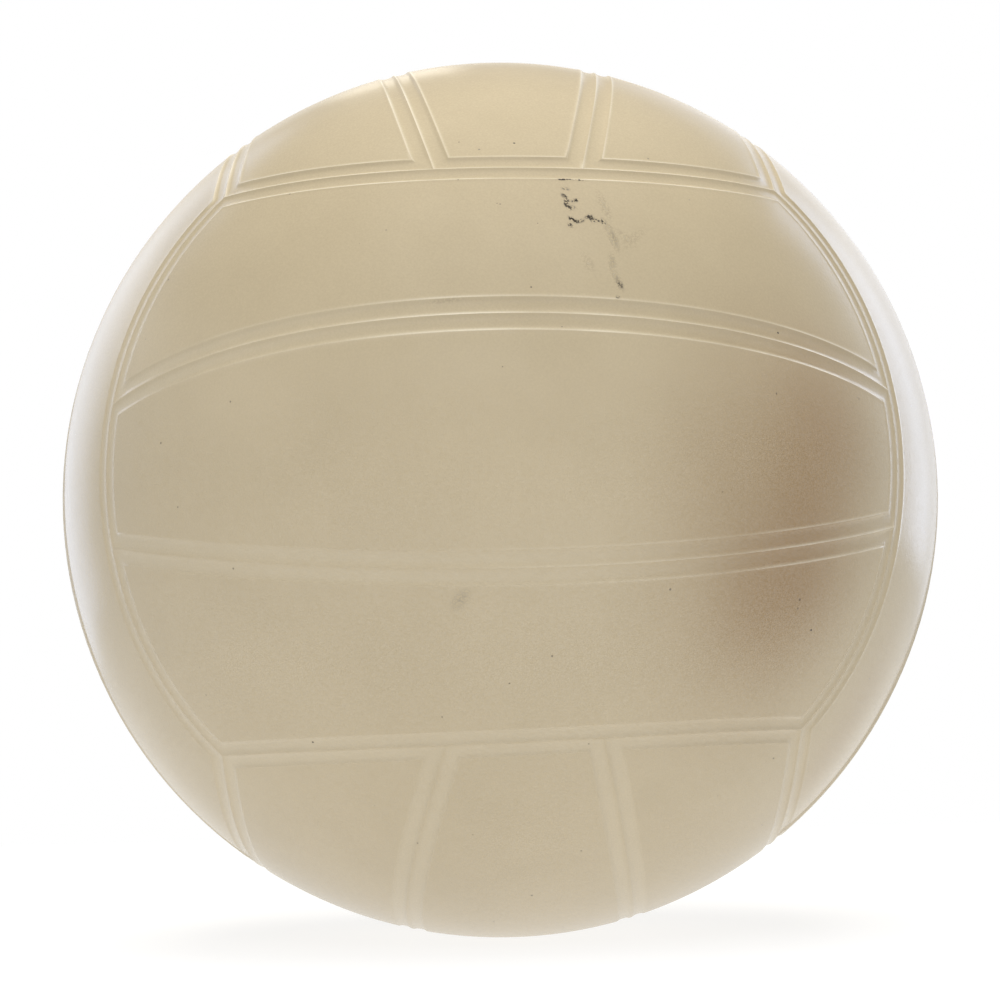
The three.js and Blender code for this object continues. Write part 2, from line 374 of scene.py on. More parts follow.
# %% [markdown]
# ## The flat it stands on, and the hollow
#
# A soft ball is never quite round where it stands. Cutting the skin level with the floor and filling
# the cut gives that patch. The wall is a second, plain sphere inside, turned inside out: a cast skin
# copies the mould's relief only on its outer side, so offsetting the flutes inwards would be wrong.

# %% Cut the flat and line the hollow
WALL_THICKNESS = 1.7 * MM
bpy.ops.object.mode_set(mode="EDIT")
bpy.ops.mesh.select_all(action="SELECT")
bpy.ops.mesh.bisect(
    plane_co=(0, 0, 0), plane_no=(0, 0, 1), use_fill=True, clear_inner=True, threshold=0.0001 * MM
)
bpy.ops.object.mode_set(mode="OBJECT")

bpy.ops.object.select_all(action="DESELECT")
bpy.ops.mesh.primitive_uv_sphere_add(
    segments=64, ring_count=32, radius=BALL_RADIUS - WALL_THICKNESS, location=CENTRE, rotation=(pi / 2, 0, 0)
)
bpy.ops.object.mode_set(mode="EDIT")
bpy.ops.mesh.flip_normals()
bpy.ops.object.mode_set(mode="OBJECT")
skin.select_set(True)
bpy.context.view_layer.objects.active = skin
bpy.ops.object.join()
bpy.ops.object.transform_apply(location=True, rotation=True, scale=True)
print("skin with its hollow, faces:", len(skin.data.polygons))

# %% [markdown]
# ## The valve's hole
#
# The neck of the valve body comes through the wall in the middle of the back face. A drill bit, that is
# a cylinder taken away with a Boolean modifier, makes the hole as it is punched in the real skin.

# %% Punch the hole
FIT_GAP = 0.3 * MM
NECK_RADIUS = 6.0 * MM
ROUND_STEPS = 96
SMOOTH_ANGLE = radians(35)
TOWARDS_VALVE = (-pi / 2, 0, 0)
bpy.ops.object.select_all(action="DESELECT")
bpy.ops.mesh.primitive_cylinder_add(
    vertices=ROUND_STEPS,
    radius=NECK_RADIUS + FIT_GAP,
    depth=6 * WALL_THICKNESS,
    location=CENTRE + Vector((0, BALL_RADIUS - WALL_THICKNESS, 0)),
    rotation=TOWARDS_VALVE,
)
punch = bpy.context.object
bpy.context.view_layer.objects.active = skin
hole = skin.modifiers.new("valve_hole", "BOOLEAN")
hole.operation = "DIFFERENCE"
hole.object = punch
bpy.ops.object.modifier_apply(modifier=hole.name)
bpy.data.objects.remove(punch)
bpy.ops.object.select_all(action="DESELECT")
skin.select_set(True)
bpy.ops.object.shade_smooth_by_angle(angle=SMOOTH_ANGLE)
print("skin punched, faces:", len(skin.data.polygons))

# %% [markdown]
# ## The valve body
#
# A small PVC bush: its round neck shows level with the skin, a flange lies against the inside of the
# wall, and a barrel holds the rubber core. It could be spun from a drawn section. Here it is worked
# like a turned part instead: a disc for the neck, then one face after another is inset, drawn out and
# widened, and the bore is bridged through at the end.

# %% Sizes of the valve body
HEAD_SEAT_RADIUS = 4.3 * MM
BORE_RADIUS = 3.0 * MM
HEAD_SINK = 0.25 * MM
HEAD_THICKNESS = 1.4 * MM
FLANGE_RADIUS = 13.0 * MM
FLANGE_THICKNESS = 1.6 * MM
BARREL_RADIUS = 5.5 * MM
neck_face = sqrt(BALL_RADIUS**2 - NECK_RADIUS**2)
flange_top = BALL_RADIUS - WALL_THICKNESS - FIT_GAP
flange_drop = sqrt(flange_top**2 - NECK_RADIUS**2) - sqrt(flange_top**2 - FLANGE_RADIUS**2)
barrel_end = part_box("valve_body")[0].y
print(f"valve from {barrel_end / MM:.1f} to {neck_face / MM:.1f} mm behind the ball's middle")


# %% Turn the valve body

def select_end(piece, side):
    """Selects the faces that look along the valve's axis at the piece's outer (1) or inner (-1) end."""
    bpy.ops.object.mode_set(mode="OBJECT")
    faces = [face for face in piece.data.polygons if side * face.normal.y > 0.9]
    end = max(side * face.center.y for face in faces)
    for part in (piece.data.vertices, piece.data.edges, piece.data.polygons):
        part.foreach_set("select", [False] * len(part))
    for face in faces:
        face.select = side * face.center.y > end - 0.01 * MM
    bpy.ops.object.mode_set(mode="EDIT")
    bpy.ops.mesh.select_mode(type="FACE")


def draw_in(depth, radius_from=1, radius_to=1):
    """Extrudes the selected end along the axis, inwards, and widens or narrows it to a new radius."""
    bpy.ops.mesh.extrude_region_move(TRANSFORM_OT_translate={"value": (0, -depth, 0)})
    share = radius_to / radius_from
    bpy.ops.transform.resize(value=(share, 1, share))


def valve_disc(name, radius, face_height, thickness):
    """A disc across the valve's axis, with its outer face at a distance from the ball's centre."""
    bpy.ops.object.select_all(action="DESELECT")
    bpy.ops.mesh.primitive_cylinder_add(
        vertices=ROUND_STEPS,
        radius=radius,
        depth=thickness,
        location=CENTRE + Vector((0, face_height - thickness / 2, 0)),
        rotation=TOWARDS_VALVE,
    )
    disc = bpy.context.object
    disc.name = disc.data.name = name
    bpy.ops.object.transform_apply(location=True, rotation=True, scale=True)
    return disc


neck_length = neck_face - sqrt(flange_top**2 - NECK_RADIUS**2)
valve_body = valve_disc("pvc_valve_body", NECK_RADIUS, neck_face, neck_length)
select_end(valve_body, -1)
draw_in(flange_drop, NECK_RADIUS, FLANGE_RADIUS)
draw_in(FLANGE_THICKNESS)
draw_in(-flange_drop, FLANGE_RADIUS, BARREL_RADIUS)
draw_in(neck_face - neck_length - FLANGE_THICKNESS - barrel_end)
bpy.ops.mesh.inset(thickness=BARREL_RADIUS - BORE_RADIUS)
bpy.ops.mesh.delete(type="FACE")
select_end(valve_body, 1)
bpy.ops.mesh.inset(thickness=NECK_RADIUS - HEAD_SEAT_RADIUS)
draw_in(HEAD_SINK + HEAD_THICKNESS + FIT_GAP)
bpy.ops.mesh.inset(thickness=HEAD_SEAT_RADIUS - BORE_RADIUS)
bpy.ops.mesh.delete(type="FACE")
bpy.ops.mesh.select_all(action="DESELECT")
bpy.ops.mesh.select_mode(type="EDGE")
bpy.ops.mesh.select_non_manifold()
bpy.ops.mesh.bridge_edge_loops()
bpy.ops.mesh.select_all(action="SELECT")
bpy.ops.mesh.normals_make_consistent(inside=False)
bpy.ops.object.mode_set(mode="OBJECT")
print("valve body faces:", len(valve_body.data.polygons))

# %% [markdown]
# ## The valve core
#
# A plug of soft rubber that closes by itself. Its head lies in the neck, a funnel leads the inflating
# needle into a fine duct, and a bulb behind the barrel keeps the plug from being blown out.

# %% Turn the valve core
HEAD_RADIUS = 4.0 * MM
STEM_RADIUS = 2.7 * MM
BULB_RADIUS = 3.9 * MM
BULB_LENGTH = 3.0 * MM
BULB_SHOULDER = 0.1 * MM
TAIL_LENGTH = 3.0 * MM
DUCT_RADIUS = 0.75 * MM
DUCT_FLARE = 0.8 * MM
SEALED_LENGTH = 4.0 * MM
head_face = neck_face - HEAD_SINK
head_under = head_face - HEAD_THICKNESS
tail_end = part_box("valve_core")[0].y
valve_core = valve_disc("rubber_valve_core", HEAD_RADIUS, head_face, HEAD_THICKNESS)
select_end(valve_core, -1)
bpy.ops.mesh.inset(thickness=HEAD_RADIUS - STEM_RADIUS)
draw_in(head_under - tail_end - BULB_LENGTH - TAIL_LENGTH)
draw_in(BULB_SHOULDER, STEM_RADIUS, BULB_RADIUS)
draw_in(BULB_LENGTH)
draw_in(TAIL_LENGTH - BULB_SHOULDER, BULB_RADIUS, 2 * DUCT_RADIUS)
select_end(valve_core, 1)
bpy.ops.mesh.inset(thickness=HEAD_RADIUS - DUCT_RADIUS - DUCT_FLARE)
draw_in(2 * DUCT_FLARE, DUCT_RADIUS + DUCT_FLARE, DUCT_RADIUS)
draw_in(head_face - 2 * DUCT_FLARE - tail_end - SEALED_LENGTH)
bpy.ops.object.mode_set(mode="OBJECT")
print("valve core faces:", len(valve_core.data.polygons))

# %% [markdown]
# Moulded corners are never knife-sharp, so both valve pieces get a small bevel on their sharp edges.
# A Bevel modifier limited by angle finds those edges by itself, and is applied.

# %% Round the valve's corners
for piece, width in ((valve_body, 0.22 * MM), (valve_core, 0.18 * MM)):
    bpy.ops.object.select_all(action="DESELECT")
    piece.select_set(True)
    bpy.context.view_layer.objects.active = piece
    bevel = piece.modifiers.new("moulded_corners", "BEVEL")
    bevel.width = width
    bevel.segments = 3
    bevel.limit_method = "ANGLE"
    bevel.angle_limit = radians(40)
    bpy.ops.object.modifier_apply(modifier=bevel.name)
    bpy.ops.object.shade_smooth_by_angle(angle=SMOOTH_ANGLE)
    print(piece.name, "faces with round corners:", len(piece.data.polygons))

# %% [markdown]
# ## Colours and nodes
#
# A colour is written as the hex value that a paint program shows. Blender's shaders want linear light,
# so one function turns the first into the second. A second small function adds a node, sets its values
# and links it, so that each finish below reads from top to bottom like a recipe.

# %% Helpers for the finishes
def linear(hex_colour):
    channels = [int(hex_colour[i : i + 2], 16) / 255 for i in (1, 3, 5)]
    light = [c / 12.92 if c <= 0.04045 else ((c + 0.055) / 1.055) ** 2.4 for c in channels]
    return (*light, 1)


def add(tree, kind, inputs=None, **settings):
    made = tree.nodes.new(kind)
    for name, value in settings.items():
        setattr(made, name, value)
    for socket, value in (inputs or {}).items():
        if isinstance(value, bpy.types.NodeSocket):
            tree.links.new(value, made.inputs[socket])
        else:
            made.inputs[socket].default_value = value
    return made


def new_finish(name):
    material = bpy.data.materials.new(name)
    material.use_nodes = True
    material.node_tree.nodes.clear()
    return material, material.node_tree


DEEP_CREAM, PALE_CREAM = "#b1a387", "#b9ab8f"
print("cream PVC in linear light:", [round(c, 3) for c in linear(PALE_CREAM)])

# %% [markdown]
# ## Marks left by play, and painted shade
#
# The ball has been used: black rubbing marks near the top and specks of dirt. A brown patch on one side
# is partly a handling stain and partly painted shade, where the right side of the ball gets less light.
# They could be painted on an image, but a picture has a fixed fineness. Instead each mark is a row of
# stretched, fading spots in the skin's own space. A Mapping node puts the spot's middle at the origin,
# turns it along the mark and scales it to the mark's half length and half width, so that the distance
# from the origin is 1 at the spot's edge. Places are written as pixels of the picture.

# %% A fading spot, and many of them
PIXEL = BALL_RADIUS / OUTLINE_RADIUS


def spot(tree, place, start, end, half_width, strength, core):
    """A spot from one picture point to another: full inside its core, none at its edge."""
    start, end = seen_at(*start), seen_at(*end)
    middle = (start + end) / 2
    outward = (middle - CENTRE).normalized()
    along = end - start if start != end else outward.orthogonal()
    along = (along - along.dot(outward) * outward).normalized()
    turn = Matrix((along, outward.cross(along), outward)).transposed()
    half_length = (end - start).length / 2 + half_width * PIXEL
    inside = add(
        tree,
        "ShaderNodeMapping",
        {
            "Vector": place,
            "Location": middle,
            "Rotation": turn.to_euler("XYZ"),
            "Scale": (half_length, half_width * PIXEL, BALL_RADIUS / 2),
        },
        vector_type="TEXTURE",
    )
    away = add(tree, "ShaderNodeVectorMath", {0: inside.outputs[0]}, operation="LENGTH")
    fade = add(
        tree,
        "ShaderNodeMapRange",
        {"Value": away.outputs["Value"], "From Min": core, "From Max": 1, "To Min": strength, "To Max": 0},
        interpolation_type="SMOOTHSTEP",
    )
    return fade.outputs["Result"]


def spots(tree, place, marks, core, together="MAXIMUM"):
    """All the marks of a list: the strongest one counts, or they add up."""
    value = None
    for start, end, half_width, strength in marks:
        mark = spot(tree, place, start, end, half_width, strength, core)
        if value is not None:
            mark = add(tree, "ShaderNodeMath", {0: value, 1: mark}, operation=together).outputs[0]
        value = mark
    return value


print(f"one pixel of the picture is {PIXEL / MM:.3f} mm on the ball")

# %% [markdown]
# ## Soft PVC
#
# The skin is plasticised PVC, cast against a lightly blasted mould. That gives the eye a satin cream
# that is never one colour: the plasticiser yellows in clouds, the surface has a fine grit that breaks
# up the shine along the rim, and it picks up dirt. It is built here in four steps: the clouded cream,
# then what lies on it, with some painted shade and painted glints, then the shine, then the relief that
# is too fine for the mesh.

# %% Clouded cream, and a brown patch that is partly painted shade
soft_pvc, tree = new_finish("soft_cast_pvc")
place = add(tree, "ShaderNodeTexCoord").outputs["Object"]
clouds = add(
    tree, "ShaderNodeTexNoise", {"Vector": place, "Scale": 1 / (55 * MM), "Detail": 6, "Roughness": 0.62}
).outputs["Fac"]
even_clouds = add(tree, "ShaderNodeMapRange", {"Value": clouds, "From Min": 0.3, "From Max": 0.7}).outputs[0]
cream = add(
    tree,
    "ShaderNodeMix",
    {0: even_clouds, 6: linear(DEEP_CREAM), 7: linear(PALE_CREAM)},
    data_type="RGBA",
).outputs[2]

# Each mark: two ends in the picture, half width in pixels, strength.
# The brown patch is partly a handling stain and partly painted shade on the ball's darker right side.
STAIN_AND_SHADE_PATCHES = [
    ((832, 395), (828, 455), 105, 0.32),
    ((802, 582), (776, 610), 105, 0.25),
    ((785, 420), (765, 620), 180, 0.44),
    ((890, 640), (780, 815), 60, 0.18),
]
stain_and_shade = spots(tree, place, STAIN_AND_SHADE_PATCHES, 0.0, "ADD")
stain_and_shade_clouds = add(
    tree, "ShaderNodeTexNoise", {"Vector": place, "Scale": 1 / (40 * MM), "Detail": 3, "Roughness": 0.6}
).outputs["Fac"]
stain_and_shade_break = add(
    tree,
    "ShaderNodeMapRange",
    {"Value": stain_and_shade_clouds, "From Min": 0.25, "From Max": 0.65, "To Min": 0.9, "To Max": 1.04},
).outputs[0]
stain_and_shade = add(tree, "ShaderNodeMath", {0: stain_and_shade, 1: stain_and_shade_break}, operation="MULTIPLY").outputs[0]
# The brown colour stands for the stain and for the painted shade.
stained_cream_and_painted_light = add(
    tree, "ShaderNodeMix", {0: stain_and_shade, 6: cream, 7: linear("#805e33")}, data_type="RGBA"
).outputs[2]
print("brown patch:", len(STAIN_AND_SHADE_PATCHES), "spots")

# %% Painted glints on the ledges, and paler dull flutes
# The thin glints that the lamps give on the sharp lips are painted: a pale colour on the ledges that face
# up and a little to the right, towards the lamps, and more of it higher on the ball, where the light from
# above is stronger. The mesh carries an attribute that is 1 along the sharp lips, and a ledge is where the
# skin's normal leans that way from the plain ball's. A second attribute is 1 in the dull flutes, which are
# drawn a little paler.
LEDGES_FACE = (0.5, 0, 0.87)
FLUTE_PALENESS = 0.09
lip = add(tree, "ShaderNodeAttribute", attribute_name="lip").outputs["Fac"]
from_centre = add(tree, "ShaderNodeVectorMath", {0: place, 1: CENTRE}, operation="SUBTRACT").outputs[0]
plain_normal = add(tree, "ShaderNodeVectorMath", {0: from_centre}, operation="NORMALIZE").outputs[0]
skin_normal = add(tree, "ShaderNodeNewGeometry").outputs["Normal"]
lean = add(tree, "ShaderNodeVectorMath", {0: skin_normal, 1: plain_normal}, operation="SUBTRACT").outputs[0]
leaning = add(tree, "ShaderNodeVectorMath", {0: lean, 1: LEDGES_FACE}, operation="DOT_PRODUCT")
ledge = add(
    tree,
    "ShaderNodeMapRange",
    {"Value": leaning.outputs["Value"], "From Min": -0.1, "From Max": 0.16},
).outputs[0]
stood = add(tree, "ShaderNodeSeparateXYZ", {0: place}).outputs["Z"]
glint_by_height = add(
    tree,
    "ShaderNodeMapRange",
    {"Value": stood, "From Min": 30 * MM, "From Max": 130 * MM},
).outputs[0]
glint_clouds = add(
    tree, "ShaderNodeTexNoise", {"Vector": place, "Scale": 1 / (30 * MM), "Detail": 2}
).outputs["Fac"]
painted_glint_and_pale_flute = add(
    tree,
    "ShaderNodeMapRange",
    {"Value": glint_clouds, "From Min": 0.35, "From Max": 0.65, "To Min": 0.3, "To Max": 0.9},
).outputs[0]
for share in (lip, ledge, glint_by_height):
    painted_glint_and_pale_flute = add(tree, "ShaderNodeMath", {0: painted_glint_and_pale_flute, 1: share}, operation="MULTIPLY").outputs[0]
flute = add(tree, "ShaderNodeAttribute", attribute_name="flute").outputs["Fac"]
painted_glint_and_pale_flute = add(tree, "ShaderNodeMath", {0: flute, 1: FLUTE_PALENESS, 2: painted_glint_and_pale_flute}, operation="MULTIPLY_ADD").outputs[0]
# Mixes the painted glints and the paler flutes into the cream.
stained_cream_and_painted_light = add(
    tree, "ShaderNodeMix", {0: painted_glint_and_pale_flute, 6: stained_cream_and_painted_light, 7: linear("#ebe4d2")}, data_type="RGBA"
).outputs[2]
print("film: on the sharp ledges, and", FLUTE_PALENESS, "of it in the dull flutes")

# %% Scuffs, smears and specks
# Black rubber rubbed off on the raised skin: crumbs about 0.5 mm across, so the strokes are broken up.
SCUFFS = [
    ((556, 179.8), (573, 179.6), 1.6, 1.1),
    ((570, 179.6), (588, 181), 1.4, 0.85),
    ((562.5, 188), (568.5, 189.5), 2.8, 0.55),
    ((562.5, 194.5), (567, 199), 3.1, 0.95),
    ((567, 199), (566, 205), 3.5, 1.1),
    ((566, 204), (570.5, 209), 3.5, 0.9),
    ((572.5, 201.5), (578, 199.5), 3.1, 0.8),
    ((570.5, 206), (575, 208), 2.6, 0.6),
    ((569.5, 217.5), (577, 222), 3.4, 1.1),
    ((577, 222), (584.5, 220), 2.8, 0.85),
    ((569.5, 224), (571, 226), 3.1, 0.75),
    ((586, 217.5), (591, 215.5), 2.8, 0.9),
    ((590.5, 216), (593, 221), 3.5, 1.1),
    ((593, 220), (598.5, 221), 3.0, 0.85),
    ((602.5, 220), (604.5, 224), 3.5, 0.8),
    ((618, 282), (622, 287), 3.9, 0.6),
    ((617, 297), (619, 297.4), 2.1, 0.7),
]
SMEARS = [
    ((597, 190), (611, 222), 6, 0.16),
    ((606, 222), (619, 252), 6, 0.3),
    ((618, 230), (634, 246), 6, 0.14),
    ((612, 252), (613, 274), 5, 0.22),
    ((614, 272), (622, 290), 5, 0.28),
    ((585, 256), (592, 270), 7, 0.12),
    ((645, 228), (622, 250), 7, 0.1),
    ((455, 606), (466, 594), 9, 0.22),
    ((424, 303), (470, 298), 3, 0.1),
]
SPECKS = [
    ((514, 143), (514.4, 143.2), 1.3, 1.2),
    ((531, 287), (531.3, 287), 1.0, 0.9),
    ((779, 332), (779.3, 332.3), 1.2, 1.1),
    ((811, 630), (811.2, 630.3), 1.3, 1.2),
    ((312, 743), (312.3, 743), 1.2, 1.0),
    ((458, 180), (458.3, 180), 0.9, 0.7),
    ((500, 204), (500.3, 204), 1.0, 0.7),
    ((386, 230), (386.3, 230), 1.0, 0.6),
    ((581, 851), (581.3, 851), 1.1, 0.7),
    ((442, 717), (442.3, 717), 1.0, 0.6),
]
crumbs = add(
    tree, "ShaderNodeTexNoise", {"Vector": place, "Scale": 1 / (0.45 * MM), "Detail": 2, "Roughness": 0.6}
).outputs["Fac"]
crumb_break = add(
    tree,
    "ShaderNodeMapRange",
    {"Value": crumbs, "From Min": 0.41, "From Max": 0.56, "To Min": 0.0, "To Max": 1.4},
).outputs[0]
scuff = spots(tree, place, SCUFFS, 0.25)
scuff = add(tree, "ShaderNodeMath", {0: scuff, 1: crumb_break}, operation="MULTIPLY").outputs[0]
smear = spots(tree, place, SMEARS, 0.0)
smear = add(tree, "ShaderNodeMath", {0: smear, 1: crumb_break}, operation="MULTIPLY").outputs[0]
speck = spots(tree, place, SPECKS, 0.3)
dirt = speck
for mark in (scuff, smear):
    dirt = add(tree, "ShaderNodeMath", {0: dirt, 1: mark}, operation="MAXIMUM").outputs[0]
print("dirt:", len(SCUFFS), "scuffs,", len(SMEARS), "smears,", len(SPECKS), "specks")

# %% Fine specks all round
# Grains of dirt up to 0.6 mm across, a few centimetres apart. Each cell of a Voronoi pattern holds one
# grain; a random number of the cell gives its size, and more than half of the cells stay clean.
GRAIN_CELL = 4 * MM
cells = add(tree, "ShaderNodeTexVoronoi", {"Vector": place, "Scale": 1 / GRAIN_CELL})
chance = add(tree, "ShaderNodeSeparateColor", {0: cells.outputs["Color"]}).outputs[0]
grain_size = add(
    tree,
    "ShaderNodeMapRange",
    {"Value": chance, "From Min": 0.5, "From Max": 1, "To Min": 0, "To Max": 0.08},
).outputs[0]
depth = add(tree, "ShaderNodeMath", {0: grain_size, 1: cells.outputs["Distance"]}, operation="SUBTRACT")
grain = add(
    tree,
    "ShaderNodeMapRange",
    {"Value": depth.outputs[0], "From Min": 0, "From Max": 0.02, "To Min": 0, "To Max": 0.6},
).outputs[0]
dirt = add(tree, "ShaderNodeMath", {0: dirt, 1: grain}, operation="MAXIMUM", use_clamp=True).outputs[0]
dirt_and_painted_light = add(
    tree, "ShaderNodeMix", {0: dirt, 6: stained_cream_and_painted_light, 7: linear("#241c14")}, data_type="RGBA"
).outputs[2]
print("dirt grains: one cell each", GRAIN_CELL / MM, "mm")

# %% Satin shine
roughness = add(
    tree, "ShaderNodeMapRange", {"Value": even_clouds, "To Min": 0.21, "To Max": 0.26}
).outputs[0]
roughness = add(
    tree, "ShaderNodeMath", {0: dirt, 1: 0.3, 2: roughness}, operation="MULTIPLY_ADD"
).outputs[0]

# Single grains shine more or less, which makes the silver rim grainy.
sparkle = add(
    tree,
    "ShaderNodeMapRange",
    {"Value": crumbs, "From Min": 0.35, "From Max": 0.65, "To Min": 0.2, "To Max": 0.8},
).outputs[0]
print("satin, with single grains that shine")

# %% Fine relief
# Heights are in metres, so that the Bump node's distance is 1. The grit of the blasted mould is 0.7 mm
# across, and the skin is uneven by a few hundredths of a millimetre over the width of a thumb.
GRIT, UNEVENNESS, CREASES = 0.03 * MM, 0.12 * MM, 0.09 * MM
grit = add(
    tree, "ShaderNodeTexNoise", {"Vector": place, "Scale": 1 / (0.7 * MM), "Detail": 2}
).outputs["Fac"]
uneven = add(
    tree, "ShaderNodeTexNoise", {"Vector": place, "Scale": 1 / (24 * MM), "Detail": 1}
).outputs["Fac"]
# Where the skin was pulled off the mould it has fine creases along X, about 1 mm apart.
creases_at = add(tree, "ShaderNodeMapping", {"Vector": place, "Scale": (1 / 7, 1, 1)}).outputs[0]
creases = add(
    tree, "ShaderNodeTexNoise", {"Vector": creases_at, "Scale": 1 / (1.4 * MM), "Detail": 1}
).outputs["Fac"]
CREASED = [
    ((340, 112), (440, 95), 34, 1.0),
    ((560, 95), (650, 120), 26, 0.45),
    ((872, 528), (888, 540), 14, 0.8),
]
creased = spots(tree, place, CREASED, 0.2)
creases = add(tree, "ShaderNodeMath", {0: creases, 1: creased}, operation="MULTIPLY").outputs[0]
height = add(tree, "ShaderNodeMath", {0: grit, 1: GRIT}, operation="MULTIPLY").outputs[0]
for pattern, amount in ((uneven, UNEVENNESS), (creases, CREASES)):
    height = add(
        tree, "ShaderNodeMath", {0: pattern, 1: amount, 2: height}, operation="MULTIPLY_ADD"
    ).outputs[0]
relief = add(tree, "ShaderNodeBump", {"Height": height, "Distance": 1, "Strength": 1}).outputs[0]
shader = add(
    tree,
    "ShaderNodeBsdfPrincipled",
    {
        "Base Color": dirt_and_painted_light,
        "Roughness": roughness,
        "IOR": 1.53,
        "Specular IOR Level": sparkle,
        "Normal": relief,
    },
)
add(tree, "ShaderNodeOutputMaterial", {"Surface": shader.outputs[0]})
print("soft PVC nodes:", len(tree.nodes))

# %% [markdown]
# ## The valve's plastics
#
# The valve body is PVC too, but injected into a polished mould that was turned on a lathe: it is a
# shade yellower, shinier, and has the faintest rings. Dirt collects in the gap round its neck. Rings
# could be modelled, but at a few hundredths of a millimetre they are only ever seen as a shimmer, so
# they are drawn from the distance to the valve's axis.

# %% Injected PVC
def from_valve_axis(tree, place):
    offset = add(tree, "ShaderNodeVectorMath", {0: place, 1: (0, 0, CENTRE.z)}, operation="SUBTRACT")
    across = add(tree, "ShaderNodeVectorMath", {0: offset.outputs[0], 1: (1, 0, 1)}, operation="MULTIPLY")
    return add(tree, "ShaderNodeVectorMath", {0: across.outputs[0]}, operation="LENGTH").outputs["Value"]


RING_SPACING, RING_HEIGHT = 0.35 * MM, 0.003 * MM
valve_pvc, tree = new_finish("injected_pvc")
place = add(tree, "ShaderNodeTexCoord").outputs["Object"]
radius = from_valve_axis(tree, place)
blotches = add(
    tree, "ShaderNodeTexNoise", {"Vector": place, "Scale": 1 / (4 * MM), "Detail": 3}
).outputs["Fac"]
body_cream = add(
    tree, "ShaderNodeMix", {0: blotches, 6: linear("#a9976f"), 7: linear("#b7a680")}, data_type="RGBA"
).outputs[2]
edge_dirt = add(
    tree,
    "ShaderNodeMapRange",
    {"Value": radius, "From Min": NECK_RADIUS - 0.8 * MM, "From Max": NECK_RADIUS},
).outputs[0]
edge_dirt = add(tree, "ShaderNodeMath", {0: edge_dirt, 1: blotches}, operation="MULTIPLY").outputs[0]
body_colour = add(
    tree, "ShaderNodeMix", {0: edge_dirt, 6: body_cream, 7: linear("#5a4c38")}, data_type="RGBA"
).outputs[2]
turns = add(tree, "ShaderNodeMath", {0: radius, 1: 2 * pi / RING_SPACING}, operation="MULTIPLY").outputs[0]
rings = add(tree, "ShaderNodeMath", {0: turns}, operation="SINE").outputs[0]
ring_height = add(tree, "ShaderNodeMath", {0: rings, 1: RING_HEIGHT}, operation="MULTIPLY").outputs[0]
relief = add(tree, "ShaderNodeBump", {"Height": ring_height, "Distance": 1, "Strength": 1}).outputs[0]
shine = add(
    tree, "ShaderNodeMapRange", {"Value": blotches, "To Min": 0.24, "To Max": 0.34}
).outputs[0]
shader = add(
    tree,
    "ShaderNodeBsdfPrincipled",
    {"Base Color": body_colour, "Roughness": shine, "IOR": 1.53, "Normal": relief},
)
add(tree, "ShaderNodeOutputMaterial", {"Surface": shader.outputs[0]})
print("injected PVC nodes:", len(tree.nodes))

# %% [markdown]
# The core is black rubber, pressed in a plain mould. Rubber grows a grey bloom as it ages, and the needle
# wipes that off again round the duct, so the head is greyest at its edge and black at its middle.

# %% Black rubber
valve_rubber, tree = new_finish("pressed_black_rubber")
place = add(tree, "ShaderNodeTexCoord").outputs["Object"]
radius = from_valve_axis(tree, place)
dust = add(
    tree, "ShaderNodeTexNoise", {"Vector": place, "Scale": 1 / (0.9 * MM), "Detail": 4, "Roughness": 0.7}
).outputs["Fac"]
bloom = add(
    tree,
    "ShaderNodeMapRange",
    {"Value": radius, "From Min": 1.2 * MM, "From Max": 4 * MM, "To Min": 0.1, "To Max": 1},
).outputs[0]
bloom = add(tree, "ShaderNodeMath", {0: bloom, 1: dust}, operation="MULTIPLY").outputs[0]
rubber_colour = add(
    tree, "ShaderNodeMix", {0: bloom, 6: linear("#1f1e1d"), 7: linear("#5b5751")}, data_type="RGBA"
).outputs[2]
dull = add(tree, "ShaderNodeMapRange", {"Value": bloom, "To Min": 0.5, "To Max": 0.85}).outputs[0]
dust_height = add(tree, "ShaderNodeMath", {0: dust, 1: 0.02 * MM}, operation="MULTIPLY").outputs[0]
relief = add(tree, "ShaderNodeBump", {"Height": dust_height, "Distance": 1, "Strength": 1}).outputs[0]
shader = add(
    tree,
    "ShaderNodeBsdfPrincipled",
    {"Base Color": rubber_colour, "Roughness": dull, "IOR": 1.52, "Normal": relief},
)
add(tree, "ShaderNodeOutputMaterial", {"Surface": shader.outputs[0]})
print("black rubber nodes:", len(tree.nodes))

# %% [markdown]
# ## Joining the frame
#
# Nothing on the ball moves, so all three pieces ride on the one body. Each stands for the CAD node of
# its own name, which stays underneath for collision, and gets the finish made for it above.

# %% Ride, replace, slot
for piece, finish, node, slot in (
    (skin, soft_pvc, "skin", "soft_pvc"),
    (valve_body, valve_pvc, "valve_body", "valve_pvc"),
    (valve_core, valve_rubber, "valve_core", "valve_rubber"),
):
    piece.data.materials.clear()
    piece.data.materials.append(finish)
    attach(piece, "root")
    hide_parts(node)
    print(piece.name, "stands for", node, "in", finish.name)

# %% [markdown]
# ## A small white studio
#
# The photograph was taken on a lit white table with large softboxes above and white panels behind on both
# sides, which draw the silver rim. The room shows white to the camera and in reflections and lights the
# ball much less than that, so that its colour comes out about as it is written.

# %% Table
bpy.ops.object.select_all(action="DESELECT")
bpy.ops.mesh.primitive_plane_add(size=1.4, location=(0, 0, -0.05 * MM))
floor = bpy.context.object
floor.name = "studio_floor"


